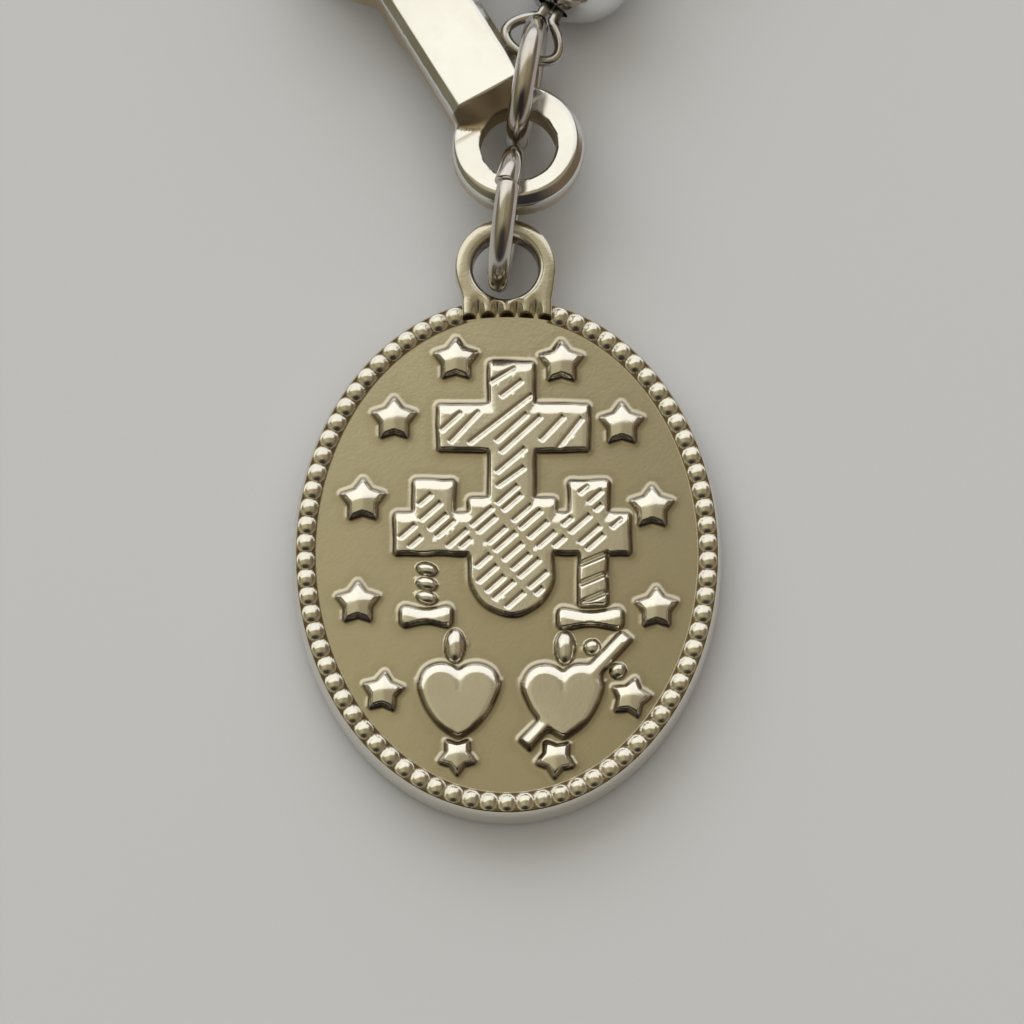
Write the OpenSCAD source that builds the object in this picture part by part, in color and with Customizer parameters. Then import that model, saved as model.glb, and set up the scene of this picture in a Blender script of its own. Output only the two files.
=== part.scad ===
// Bracelet of round metal beads, closed by a lobster clasp that also carries an oval medal.
// It lies flat on a table: millimetres, +Z up, origin under the middle of its bounding box.
// Places are first given from the middle of the medal's oval, with +Y towards the clasp.

/* [String of beads] */
// Number of beads
bead_count = 38; // [32:1:40]
// Diameter of a bead
bead_d = 4; // [3.9:0.05:4.1]
// Diameter of the hole through a bead
bead_hole_d = 1.1; // [1.05:0.05:1.3]
// Distance from bead to bead along the string
bead_pitch = 4.12; // [4.12:0.01:4.3]
// Thickness of the beading wire
wire_d = 0.38; // [0.3:0.02:0.4]
// Angle that the string's two legs make with the X axis where they leave the clasp
leg_angle = 60; // [58:1:62]
// Length of the wire's end loops
loop_len = 1.7; // [1.6:0.05:1.8]

/* [Jump rings] */
// Outer diameter of the jump ring that carries the medal
medal_ring_od = 5.02; // [4.95:0.01:5.02]
// Outer diameter of the other two jump rings
ring_od = 4.77; // [4.7:0.01:4.8]
// Thickness of a jump ring's wire
ring_wire_d = 0.75; // [0.65:0.05:0.75]

/* [Medal] */
// Width of the oval
medal_w = 14.4; // [14.0:0.1:14.6]
// Height of the oval, without the bail
medal_h = 17.8; // [17.6:0.1:17.8]
// Thickness of the medal
medal_t = 2; // [1.9:0.1:2.2]
// Depth of the field below the rim
field_depth = 0.4; // [0.3:0.05:0.5]
// Number of half-round beads on the rim
rim_bead_count = 78; // [76:2:82]
// Outer diameter of the bail
bail_od = 3.44; // [3.2:0.02:3.44]
// Diameter of the bail's hole
bail_hole_d = 2.24; // [2.2:0.02:2.3]
// Thickness of the bail
bail_t = 0.9; // [0.7:0.1:0.9]

/* [Clasp] */
// Outer diameter of the clasp's end ring
end_ring_od = 4.5; // [4.3:0.05:4.5]
// Diameter of the hole in the end ring
end_ring_hole_d = 2.6; // [2.6:0.05:2.7]
// Thickness of the end ring
end_ring_t = 1.4; // [1.3:0.1:1.4]
// Width of the arm between end ring and claw
arm_w = 2.9; // [2.7:0.02:2.9]
// Outer width of the claw
claw_w = 6; // [5.8:0.1:6.2]
// Opening angle of the lever as drawn, zero where it is closed
lever_open = 0; // [0:1:14]

/* [Hidden] */
tiny = 0.01;

// Rings stand upright on the table, so their middles lie half a diameter up
ring_r = (ring_od - ring_wire_d) / 2;
ring_z = ring_od / 2;
bead_z = bead_d / 2;

// Middle of each ring in plan, and the direction in which it runs
medal_ring_pos = [-0.03, 11.64];
medal_ring_turn = 83;
link_ring_pos = [0.68, 16.58];
link_ring_turn = 79.8;

// Clasp: its X axis runs from the end ring to the claw's tip
clasp_pos = [0.37, 14.24];
clasp_turn = 120;
end_ring_z = 1.55;
claw_bottom = 0.95;
claw_top = 3.4;
hook_bottom = 1.2;
hook_top = 3.1;
arm_start = 1.9;
arm_taper_end = 5.4;
bevel = 0.32;
gate_start = 8.8;
hook_start = 10.4;
claw_mid = [10.8, 0];
claw_len = 8.2;
mouth_mid = [11.1, 0.1];
mouth_len = 5.2;
mouth_w = 3.5;
pin_pos = [7.5, -1.15];
pin_r = 0.45;
hub_r = 0.95;
lever_bore_r = pin_r + 0.05;
lever_reach = 5.35;
lever_bottom = 1.55;
lever_top = 2.8;
lever_gap = 0.12;
slot_gap = 0.1;
tab_pos = [8.4, -3.2];
tab_r = 0.62;
tail_ring_along = 14.5;
tail_ring_side = 0.55;

function heading(a) = [cos(a), sin(a)];
function left_of(a) = [-sin(a), cos(a)];
function clasp_point(along, side) =
    clasp_pos + along * heading(clasp_turn) + side * left_of(clasp_turn);

tail_ring_pos = clasp_point(tail_ring_along, tail_ring_side);

// A wire loop holds its jump ring this far from the middle of the string's end bead
bead_to_ring = bead_d / 2 + 0.9;
loop_tip = bead_d / 2 + 0.1;
loop_half_w = 1.3;
tail_offset = 0.24;
ring_reach = sqrt(pow(ring_r, 2) - pow(ring_z - bead_z, 2));

// The string: a straight leg, an arc over the top and a second straight leg
string_start = link_ring_pos + ring_reach * heading(link_ring_turn) + bead_to_ring * heading(leg_angle);
string_end = tail_ring_pos + ring_reach * heading(clasp_turn) + bead_to_ring * heading(180 - leg_angle);
string_len = (bead_count - 1) * bead_pitch;
span = string_end - string_start;
arc_turn = 360 - 2 * leg_angle;
arc_rad = arc_turn * PI / 180;
arc_r = (string_len - span.x / cos(leg_angle)) / (2 * tan(leg_angle) + arc_rad);
legs_sum = (span.x + 2 * sin(leg_angle) * arc_r) / cos(leg_angle);
legs_diff = span.y / sin(leg_angle);
leg_1 = (legs_sum + legs_diff) / 2;
leg_2 = (legs_sum - legs_diff) / 2;
arc_mid = string_start + leg_1 * heading(leg_angle) + arc_r * left_of(leg_angle);

function string_heading(d) =
    d < leg_1 ? leg_angle
    : d > string_len - leg_2 ? leg_angle + arc_turn
    : leg_angle + (d - leg_1) / arc_r * 180 / PI;
function string_point(d) =
    d < leg_1 ? string_start + d * heading(leg_angle)
    : d > string_len - leg_2 ? string_end + (string_len - d) * heading(180 - leg_angle)
    : arc_mid - arc_r * left_of(string_heading(d));

// Middle of the oval, seen from the point that the relief is placed from
oval_mid = [0, 0.14];

// Everything is moved so that the origin is under the middle of the bounding box
box_low = [arc_mid.x - arc_r - bead_d / 2, oval_mid.y - medal_h / 2];
box_high = [arc_mid.x + arc_r + bead_d / 2, arc_mid.y + arc_r + bead_d / 2];
to_origin = [-(box_low.x + box_high.x) / 2, -(box_low.y + box_high.y) / 2, 0];

function two_digits(i) = i < 10 ? str("0", i) : str(i);
BEADS = [for (i = [1:bead_count]) str("bead_", two_digits(i))];

// Heights in the medal
lip_w = 0.2;
lip_h = 0.2;
edge_step = 0.2;
field_z = medal_t - field_depth;
relief_h = 0.3;
heart_h = 0.34;
groove_depth = 0.12;
rim_bead_r = 0.27;
rim_bead_inset = 0.46;
rib_count = 5;
rib_pitch = 0.6;
rib_w = 0.4;
bail_pos = [0, 10.17];
bail_z = medal_t - 0.1 - bail_t;
neck_step = 0.15;
rib_start = 8.35;

// Stars on the field: place of the middle, turn from point-up and reach
STAR_X = 0;
STAR_Y = 1;
STAR_TURN = 2;
STAR_R = 3;
stars = [
    [-1.73, 6.93, 0, 0.73],
    [1.83, 6.84, 0, 0.73],
    [-3.80, 4.84, 0, 0.73],
    [3.85, 4.67, 0, 0.73],
    [-4.83, 2.01, 0, 0.73],
    [4.85, 1.77, 0, 0.72],
    [-4.97, -1.52, 0, 0.72],
    [4.97, -1.70, 0, 0.70],
    [-4.10, -4.56, -5, 0.66],
    [4.09, -4.75, -14, 0.65],
    [-1.64, -6.72, 180, 0.61],
    [1.61, -6.80, 176, 0.64]
];

// Cross and altar: edges of each block as [left, bottom, right, top]
cross_upright = [-0.62, 1.50, 0.93, 6.87];
cross_arms = [-2.34, 3.72, 2.77, 5.38];
altar_step = [-1.30, 1.50, 1.65, 2.10];
altar_table = [-3.77, 0.03, 4.13, 1.59];
candle_left = [-3.15, 1.50, -1.75, 2.73];
candle_right = [2.05, 1.50, 3.45, 2.60];
leg_left = [-3.00, -1.55, -2.37, 0.10];
leg_right = [2.45, -1.62, 3.30, 0.10];
foot_left = [-3.53, -2.38, -1.87, -1.50];
foot_right = [1.75, -2.48, 3.83, -1.55];
swag_mid = [0.15, 0.10];
swag_r = 1.40;
swag_drop = 0.65;
border_w = 0.16;
hatch_turn = 42;
hatch_pitch = 0.36;
hatch_w = 0.17;

// Hearts, flames and the small sword
heart_left = [-1.60, -4.55];
heart_right = [1.86, -4.58];
heart_r = 0.72;
heart_tip = 1.72;
flame_left = [-1.73, -3.00];
flame_right = [1.93, -3.08];
flame_r = 0.36;
flame_h = 0.62;
sword_hilt = [3.98, -2.62];
sword_tip = [0.57, -6.36];
sword_w = 0.46;
knob_r = 0.28;
knobs = [[2.83, -3.04], [3.67, -3.83]];

// Plan outlines of the medal
function oval(w, h, n = 72) = [for (i = [0:n - 1]) [w / 2 * cos(i * 360 / n), h / 2 * sin(i * 360 / n)]];
function star_points(r) = [for (i = [0:9]) (i % 2 == 0 ? r : 0.58 * r) * heading(90 + 36 * i)];
// Places along the rim at even steps, the first of them at the top
function rim_point(i) =
    let (even = 90 + 360 * i / rim_bead_count, a = even - 2.75 * sin(2 * even))
    oval_mid + [(medal_w / 2 - rim_bead_inset) * cos(a), (medal_h / 2 - rim_bead_inset) * sin(a)];

module block(edges, grow = 0) {
    translate([edges[0] - grow, edges[1] - grow])
        square([edges[2] - edges[0] + 2 * grow, edges[3] - edges[1] + 2 * grow]);
}

module swag(grow = 0) {
    difference() {
        union() {
            translate(swag_mid - [0, swag_drop])
                circle(r = swag_r + grow, $fn = 40);
            block([swag_mid.x - swag_r, swag_mid.y - swag_drop, swag_mid.x + swag_r, swag_mid.y], grow);
        }
        translate([-5, altar_table[1] + 0.3])
            square([10, 4]);
    }
}

// The hatched motif in plan, all of it made smaller or larger by grow
module altar_plan(grow = 0) {
    for (edges = [cross_upright, cross_arms, altar_step, altar_table, candle_left, candle_right, leg_right])
        block(edges, grow);
    swag(grow);
}

// Slanting grooves that stay clear of the motif's edges
module altar_grooves() {
    intersection() {
        altar_plan(-border_w);
        rotate(hatch_turn)
            for (i = [-20:20])
                translate([-8, i * hatch_pitch])
                    square([16, hatch_w]);
    }
}

module altar() {
    linear_extrude(height = relief_h - groove_depth)
        altar_plan();
    linear_extrude(height = relief_h)
        difference() {
            altar_plan();
            altar_grooves();
        }
    linear_extrude(height = relief_h)
        for (edges = [leg_left, foot_left, foot_right])
            block(edges);
}

module heart(pos) {
    translate(pos)
        linear_extrude(height = heart_h) {
            for (side = [-1, 1])
                translate([side * heart_r * 0.86, 0.28])
                    circle(r = heart_r, $fn = 32);
            polygon([[-heart_r * 1.56, -0.1], [0, -heart_tip], [heart_r * 1.56, -0.1], [0, 0.72]]);
        }
}

module flame(pos) {
    translate(pos)
        linear_extrude(height = relief_h) {
            translate([0, -0.15])
                circle(r = flame_r, $fn = 24);
            polygon([[-flame_r * 0.9, 0], [flame_r * 0.9, 0], [0, flame_h]]);
        }
}

module sword() {
    run = sword_hilt - sword_tip;
    translate(sword_tip)
        rotate(atan2(run.y, run.x))
            translate([0, -sword_w / 2])
                cube([norm(run), sword_w, relief_h]);
    for (pos = knobs)
        translate(pos)
            cylinder(r = knob_r, h = relief_h, $fn = 24);
}

module bail() {
    translate([0, 0, bail_z])
        difference() {
            union() {
                translate(bail_pos)
                    cylinder(d = bail_od, h = bail_t, $fn = 48);
                linear_extrude(height = bail_t)
                    polygon([[-1.65, 9.8], [-1.5, 8.95], [1.5, 8.95], [1.65, 9.8]]);
                linear_extrude(height = bail_t - neck_step)
                    polygon([[-1.5, 9], [-2.2, 8], [2.2, 8], [1.5, 9]]);
                for (i = [0:rib_count - 1])
                    translate([(i - (rib_count - 1) / 2) * rib_pitch - rib_w / 2, rib_start, 0])
                        cube([rib_w, 9.1 - rib_start, bail_t]);
            }
            translate([bail_pos.x, bail_pos.y, -1])
                cylinder(d = bail_hole_d, h = bail_t + 2, $fn = 48);
        }
}

module medal_disc() {
    translate(oval_mid) {
        linear_extrude(height = edge_step + tiny)
            polygon(oval(medal_w - 2 * edge_step, medal_h - 2 * edge_step));
        translate([0, 0, edge_step])
            linear_extrude(height = field_z - edge_step)
                polygon(oval(medal_w, medal_h));
        translate([0, 0, field_z - tiny])
            linear_extrude(height = lip_h)
                difference() {
                    polygon(oval(medal_w, medal_h));
                    polygon(oval(medal_w - 2 * lip_w, medal_h - 2 * lip_w));
                }
    }
}

module medal() {
    color([0.66, 0.63, 0.53]) {
        medal_disc();
        bail();
        for (i = [3:rim_bead_count - 3])
            translate([rim_point(i).x, rim_point(i).y, field_z - tiny])
                cylinder(r = rim_bead_r, h = field_depth, $fn = 8);
        translate([0, 0, field_z - tiny]) {
            altar();
            for (star = stars)
                translate([star[STAR_X], star[STAR_Y]])
                    rotate(star[STAR_TURN])
                        linear_extrude(height = relief_h)
                            polygon(star_points(star[STAR_R]));
            heart(heart_left);
            heart(heart_right);
            flame(flame_left);
            flame(flame_right);
            sword();
        }
    }
}

// A closed wire ring that stands upright in the vertical plane through pos along turn
module upright_ring(pos, turn, od = ring_od) {
    color([0.72, 0.72, 0.72])
        translate([pos.x, pos.y, od / 2])
            rotate([90, 0, turn])
                rotate_extrude($fn = 48)
                    translate([(od - ring_wire_d) / 2, 0])
                        circle(d = ring_wire_d, $fn = 20);
}

module claw_outline(grow = 0) {
    translate(claw_mid)
        polygon(oval(claw_len + 2 * grow, claw_w + 2 * grow, 48));
}

module mouth_outline() {
    translate(mouth_mid)
        polygon(oval(mouth_len, mouth_w, 40));
}

// The side of the claw that the lever closes, within reach of its nose
module gate_zone(reach) {
    intersection() {
        translate(pin_pos)
            circle(r = reach, $fn = 96);
        translate([gate_start, -5])
            square([6, 4.55]);
    }
}

// The room that the lever turns in, between the arm's two cheeks
module slot_zone() {
    slot_r = hub_r + slot_gap;
    intersection() {
        translate(pin_pos)
            circle(r = lever_reach + lever_gap, $fn = 96);
        union() {
            translate(pin_pos)
                circle(r = slot_r, $fn = 48);
            translate(pin_pos)
                polygon([[-slot_r, 0], [-slot_r, -5], [7, -5], [7, 1.2], [0, slot_r]]);
        }
    }
}

// A bar along X with its long edges bevelled
module bevelled_bar(from_x, to_x, bottom, top) {
    half = arm_w / 2;
    flat = half - bevel;
    translate([from_x, 0, 0])
        rotate([90, 0, 90])
            linear_extrude(height = to_x - from_x)
                polygon([
                    [-half, bottom + bevel], [-flat, bottom], [flat, bottom], [half, bottom + bevel],
                    [half, top - bevel], [flat, top], [-flat, top], [-half, top - bevel]
                ]);
}

module clasp_arm() {
    bevelled_bar(arm_start, arm_taper_end + tiny, end_ring_z + 0.03, claw_top - 0.03);
    bevelled_bar(arm_taper_end, arm_taper_end + 2.6, claw_bottom + 0.03, claw_top - 0.03);
}

module clasp_claw() {
    intersection() {
        translate([0, 0, claw_bottom])
            linear_extrude(height = claw_top - claw_bottom)
                claw_outline();
        translate([arm_taper_end + 1, -4, claw_bottom - 1])
            cube([hook_start - arm_taper_end - 0.9, 8, 6]);
    }
    translate([0, 0, hook_bottom])
        linear_extrude(height = hook_top - hook_bottom)
            intersection() {
                claw_outline();
                translate([hook_start, -4])
                    square([5, 8]);
            }
}

module clasp_body() {
    color([0.78, 0.78, 0.76])
        translate(clasp_pos)
            rotate(clasp_turn) {
                difference() {
                    union() {
                        translate([0, 0, end_ring_z])
                            cylinder(d = end_ring_od, h = end_ring_t, $fn = 64);
                        clasp_arm();
                        clasp_claw();
                    }
                    cylinder(d = end_ring_hole_d, h = 6, $fn = 64);
                    linear_extrude(height = 6)
                        mouth_outline();
                    linear_extrude(height = 6)
                        gate_zone(lever_reach + lever_gap);
                    translate([0, 0, lever_bottom - slot_gap])
                        linear_extrude(height = lever_top - lever_bottom + 2 * slot_gap)
                            slot_zone();
                }
                translate([pin_pos.x, pin_pos.y, claw_bottom + 0.2])
                    cylinder(r = pin_r, h = claw_top - claw_bottom - 0.4, $fn = 32);
            }
}

module lever_plan() {
    difference() {
        union() {
            translate(pin_pos)
                circle(r = hub_r, $fn = 40);
            intersection() {
                claw_outline(-0.05);
                translate([pin_pos.x, -5])
                    square([7, 4.4]);
                translate(pin_pos)
                    circle(r = lever_reach, $fn = 96);
            }
            translate(tab_pos)
                circle(r = tab_r, $fn = 32);
            polygon([[7.8, -2.0], [7.8, -3.3], [9.0, -3.3], [9.3, -2.4]]);
        }
        translate([0, -0.08])
            mouth_outline();
    }
}

module clasp_lever() {
    color([0.72, 0.72, 0.70])
        translate(clasp_pos)
            rotate(clasp_turn)
                translate(pin_pos)
                    rotate(lever_open)
                        translate(-pin_pos)
                            difference() {
                                translate([0, 0, lever_bottom])
                                    linear_extrude(height = lever_top - lever_bottom)
                                        lever_plan();
                                translate(pin_pos)
                                    cylinder(r = lever_bore_r, h = 6, $fn = 32);
                            }
}

module bead(i) {
    at = string_point((i - 1) * bead_pitch);
    color([0.75, 0.75, 0.77])
        translate([at.x, at.y, bead_z])
            rotate(string_heading((i - 1) * bead_pitch))
                rotate([0, 90, 0])
                    rotate_extrude($fn = 48)
                        intersection() {
                            circle(d = bead_d, $fn = 48);
                            translate([bead_hole_d / 2, -bead_d])
                                square([bead_d, 2 * bead_d]);
                        }
}

// Teardrop loop beyond an end bead, as [distance from the bead's middle, distance to the side]
loop_angles = [for (t = [40:20:320]) t];
loop_track = concat(
    [[0.6, -tail_offset], [1.4, -tail_offset], [loop_tip - 0.05, -tail_offset]],
    [for (t = loop_angles) [loop_tip + loop_len * (1 - cos(t)) / 2, -loop_half_w * sin(t) * sin(t / 2)]],
    [[loop_tip - 0.05, tail_offset], [1.4, tail_offset]]
);
back = heading(180 - leg_angle);
back_side = left_of(180 - leg_angle);
wire_stations = [for (i = [0:bead_count - 1]) string_point(i * bead_pitch)];
wire_route = concat(
    [for (p = loop_track) string_start - p[0] * heading(leg_angle) + p[1] * left_of(leg_angle)],
    wire_stations,
    [for (i = [len(loop_track) - 1:-1:0])
        string_end - loop_track[i][0] * back - loop_track[i][1] * back_side]
);

function route_heading(points, i) =
    let (step = points[min(i + 1, len(points) - 1)] - points[max(i - 1, 0)])
    atan2(step.y, step.x);

// A tube of even thickness along flat points at height z
module tube(points, d, z, sides = 8) {
    count = len(points);
    corners = [
        for (i = [0:count - 1], k = [0:sides - 1])
            let (side = d / 2 * cos(360 * k / sides) * left_of(route_heading(points, i)))
            [points[i].x + side.x, points[i].y + side.y, z + d / 2 * sin(360 * k / sides)]
    ];
    walls = [
        for (i = [0:count - 2], k = [0:sides - 1])
            let (a = i * sides, b = a + sides, next = (k + 1) % sides)
            [a + k, b + k, b + next, a + next]
    ];
    start_cap = [for (k = [0:sides - 1]) k];
    end_cap = [for (k = [sides - 1:-1:0]) (count - 1) * sides + k];
    polyhedron(corners, concat(walls, [start_cap, end_cap]));
}

module beading_wire() {
    color([0.55, 0.55, 0.55])
        tube(wire_route, wire_d, bead_z);
}

module placed() {
    translate(to_origin)
        children();
}

placed() medal();
placed() upright_ring(medal_ring_pos, medal_ring_turn, medal_ring_od);  // medal_ring
placed() clasp_body();
placed() clasp_lever();
placed() upright_ring(link_ring_pos, link_ring_turn);  // link_ring
placed() upright_ring(tail_ring_pos, clasp_turn);  // tail_ring
placed() beading_wire();
for (i = [1:bead_count])
    placed() bead(i);
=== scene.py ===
"""Looks of the beaded bracelet with the oval medal. Shapes are worked out in millimetres."""

import math

import bpy
import numpy as np
import openvdb as vdb
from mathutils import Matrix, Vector


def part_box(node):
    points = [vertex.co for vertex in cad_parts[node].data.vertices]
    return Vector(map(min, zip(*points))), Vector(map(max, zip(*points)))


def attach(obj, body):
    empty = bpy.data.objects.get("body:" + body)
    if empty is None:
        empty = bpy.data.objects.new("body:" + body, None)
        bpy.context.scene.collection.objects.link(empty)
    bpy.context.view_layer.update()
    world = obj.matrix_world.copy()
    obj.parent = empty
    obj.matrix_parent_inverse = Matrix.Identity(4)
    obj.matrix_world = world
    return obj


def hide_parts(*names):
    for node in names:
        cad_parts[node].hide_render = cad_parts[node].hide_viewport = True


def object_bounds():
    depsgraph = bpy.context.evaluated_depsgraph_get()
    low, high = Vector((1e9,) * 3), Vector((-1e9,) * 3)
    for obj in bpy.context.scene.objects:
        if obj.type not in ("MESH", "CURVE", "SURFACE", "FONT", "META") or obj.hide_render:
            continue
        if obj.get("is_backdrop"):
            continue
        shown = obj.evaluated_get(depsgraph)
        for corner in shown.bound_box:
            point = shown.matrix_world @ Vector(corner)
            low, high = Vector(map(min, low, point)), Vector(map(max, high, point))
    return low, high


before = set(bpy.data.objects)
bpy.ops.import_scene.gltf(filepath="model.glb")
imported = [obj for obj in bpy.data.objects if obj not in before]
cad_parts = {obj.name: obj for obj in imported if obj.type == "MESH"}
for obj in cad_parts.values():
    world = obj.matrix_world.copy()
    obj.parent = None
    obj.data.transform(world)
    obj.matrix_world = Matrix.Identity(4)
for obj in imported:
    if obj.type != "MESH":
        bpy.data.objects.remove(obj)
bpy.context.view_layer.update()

MM = 0.001
BODY = "bracelet"

# Sizes that the CAD model gives, in millimetres
MEDAL_W, MEDAL_H, OVAL_MID_Y = 14.4, 17.8, 0.14
FIELD_Z = 1.6
RING_WIRE_R = 0.375
BEAD_R, BEAD_HOLE_R = 2.0, 0.55
WIRE_R = 0.19
CLASP_FROM_MEDAL = np.array([0.37, 14.24])
CLASP_TURN = math.radians(120)


def corner_mm(node):
    """Lowest and highest corner of a CAD node, in millimetres."""
    low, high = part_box(node)
    return np.array(low) / MM, np.array(high) / MM


def mid_mm(node):
    """Middle of a CAD node's box, in millimetres."""
    low, high = corner_mm(node)
    return (low + high) / 2


# The point that the medal's relief is placed from
medal_low, medal_high = corner_mm("medal")
MEDAL_MID = np.array([(medal_low[0] + medal_high[0]) / 2, medal_low[1] + MEDAL_H / 2 - OVAL_MID_Y])


# Materials
# Colour and roughness where a mesh is painted low: partly grime, partly painted shade
GRIME_AND_SHADE = (0.17, 0.125, 0.08)
ROUGH_GRIME_AND_SHADE = 0.55


def shader(name):
    """A new node material, its node tree and its Principled shader."""
    material = bpy.data.materials.new(name)
    material.use_nodes = True
    tree = material.node_tree
    return material, tree, tree.nodes["Principled BSDF"]


def noise(tree, scale, detail=3.0, rough=0.5, distortion=0.0):
    """Noise in the object's own coordinates."""
    place = tree.nodes.new("ShaderNodeTexCoord")
    texture = tree.nodes.new("ShaderNodeTexNoise")
    texture.inputs["Scale"].default_value = scale
    texture.inputs["Detail"].default_value = detail
    texture.inputs["Roughness"].default_value = rough
    texture.inputs["Distortion"].default_value = distortion
    tree.links.new(place.outputs["Object"], texture.inputs["Vector"])
    return texture.outputs["Fac"]


def ramp(tree, value, low, high, to_low, to_high):
    """Maps a value from low..high to to_low..to_high."""
    node = tree.nodes.new("ShaderNodeMapRange")
    for key, number in (("From Min", low), ("From Max", high), ("To Min", to_low), ("To Max", to_high)):
        node.inputs[key].default_value = number
    tree.links.new(value, node.inputs["Value"])
    return node.outputs["Result"]


def maths(tree, operation, *values):
    """What a Math node makes of these sockets."""
    node = tree.nodes.new("ShaderNodeMath")
    node.operation = operation
    for value, socket in zip(values, node.inputs):
        tree.links.new(value, socket)
    return node.outputs["Value"]


def mix_colour(tree, factor, first, second):
    """From the first colour at factor 0 to the second at 1; either may be a socket."""
    node = tree.nodes.new("ShaderNodeMix")
    node.data_type = "RGBA"
    tree.links.new(factor, node.inputs["Factor"])
    for key, colour in (("A", first), ("B", second)):
        socket = [s for s in node.inputs if s.name == key and s.type == "RGBA"][0]
        if isinstance(colour, tuple):
            socket.default_value = (*colour, 1)
        else:
            tree.links.new(colour, socket)
    return [s for s in node.outputs if s.type == "RGBA"][0]


def blend(tree, value, low, high, first, second):
    """The first colour where the value is low, which turns into the second where it is high."""
    return mix_colour(tree, ramp(tree, value, low, high, 0.0, 1.0), first, second)


def mix_value(tree, factor, first, second):
    """From the first number at factor 0 to the second at 1; either may be a socket."""
    node = tree.nodes.new("ShaderNodeMix")
    node.data_type = "FLOAT"
    tree.links.new(factor, node.inputs[0])
    for socket, value in zip(node.inputs[2:4], (first, second)):
        if isinstance(value, float):
            socket.default_value = value
        else:
            tree.links.new(value, socket)
    return node.outputs[0]


def bump(tree, principled, *layers):
    """Bump from (height socket, strength, depth in millimetres) layers, the first one coarsest."""
    normal = None
    for height, strength, depth in layers:
        node = tree.nodes.new("ShaderNodeBump")
        node.inputs["Strength"].default_value = strength
        node.inputs["Distance"].default_value = depth * MM
        tree.links.new(height, node.inputs["Height"])
        if normal:
            tree.links.new(normal, node.inputs["Normal"])
        normal = node.outputs["Normal"]
    tree.links.new(normal, principled.inputs["Normal"])


def attribute(tree, name):
    """The number that each point of a mesh was painted with."""
    node = tree.nodes.new("ShaderNodeAttribute")
    node.attribute_name = name
    return node.outputs["Fac"]


def polished_metal(name, colour, dull_colour, rough, rough_worn, scratch, grime_and_shade=GRIME_AND_SHADE):
    """Polished steel with faint waves, smears and scratches, and with grime and painted shade where it is
    painted low.
    """
    material, tree, principled = shader(name)
    principled.inputs["Metallic"].default_value = 1.0
    smears = noise(tree, 420, 4, 0.6, 0.4)
    low = attribute(tree, "low")
    roughness = mix_value(tree, low, ramp(tree, smears, 0.38, 0.68, rough, rough_worn), ROUGH_GRIME_AND_SHADE)
    tree.links.new(roughness, principled.inputs["Roughness"])
    clean = blend(tree, noise(tree, 190, 5, 0.65), 0.45, 0.75, colour, dull_colour)
    # Where it is painted low the base colour turns to that of grime and painted shade
    tree.links.new(mix_colour(tree, low, clean, grime_and_shade), principled.inputs["Base Color"])
    waves, scratches = noise(tree, 520, 2, 0.4), noise(tree, 5200, 3, 0.7)
    bump(tree, principled, (waves, 0.25, scratch * 2), (scratches, 0.12, scratch))
    return material


# Meshes
# A tube's end is closed by a last section of this radius
TIP_R = 0.002


def new_mesh(name, points, quads, normals=None):
    """A smooth-shaded mesh of four-cornered faces, from points in millimetres."""
    mesh = bpy.data.meshes.new(name)
    mesh.vertices.add(len(points))
    mesh.vertices.foreach_set("co", (np.asarray(points) * MM).astype(np.float32).ravel())
    mesh.loops.add(quads.size)
    mesh.loops.foreach_set("vertex_index", quads.astype(np.int32).ravel())
    mesh.polygons.add(len(quads))
    mesh.polygons.foreach_set("loop_start", np.arange(0, quads.size, 4, dtype=np.int32))
    mesh.polygons.foreach_set("use_smooth", np.ones(len(quads), bool))
    mesh.update(calc_edges=True)
    if normals is not None:
        mesh.normals_split_custom_set_from_vertices(normals.astype(np.float32))
    return mesh


def paint(mesh, name, values):
    """Gives each point of a mesh a number that its material reads."""
    mesh.attributes.new(name, "FLOAT", "POINT").data.foreach_set("value", values.astype(np.float32))


def dress(name, mesh, material, nodes, body=BODY):
    """Makes the piece that stands for these CAD nodes and rides on their body."""
    piece = bpy.data.objects.new(name, mesh)
    bpy.context.scene.collection.objects.link(piece)
    mesh.materials.append(material)
    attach(piece, body)
    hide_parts(*nodes)


def cell_quads(index):
    """Faces between points whose numbers fill a grid."""
    corners = (index[:-1, :-1], index[1:, :-1], index[1:, 1:], index[:-1, 1:])
    return np.stack(corners, -1).reshape(-1, 4)


def grid_quads(rows, columns, wrap_rows=False, wrap_columns=False):
    """Faces of a grid of points that was flattened row by row."""
    index = np.arange(rows * columns).reshape(rows, columns)
    if wrap_rows:
        index = np.vstack([index, index[:1]])
    if wrap_columns:
        index = np.hstack([index, index[:, :1]])
    return cell_quads(index)


def tube_wall(path, radii, across, up, sides):
    """Points and faces of a round tube, from the two directions that span its sections."""
    turn = np.linspace(0, 2 * math.pi, sides, endpoint=False)
    wall = (
        path[:, None, :]
        + radii[:, None, None] * np.cos(turn)[None, :, None] * across[:, None, :]
        + radii[:, None, None] * np.sin(turn)[None, :, None] * np.asarray(up)[None, None, :]
    )
    return wall.reshape(-1, 3), grid_quads(len(path), sides, wrap_columns=True)


def flat_tube(path, radius, sides):
    """A tube along a level path, its ends closed."""
    path = np.concatenate([path[:1], path, path[-1:]])
    radii = np.full(len(path), radius)
    radii[[0, -1]] = TIP_R
    along = np.gradient(path[1:-1], axis=0)
    along = np.concatenate([along[:1], along, along[-1:]])
    along /= np.linalg.norm(along, axis=1)[:, None]
    return tube_wall(path, radii, np.cross(along, (0.0, 0.0, 1.0)), (0.0, 0.0, 1.0), sides)


# Solids from distances: negative inside, in millimetres
def ease(value, low, high):
    """0 below low, 1 above high and smooth between them."""
    share = np.clip((value - low) / (high - low), 0, 1)
    return share * share * (3 - 2 * share)


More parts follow.
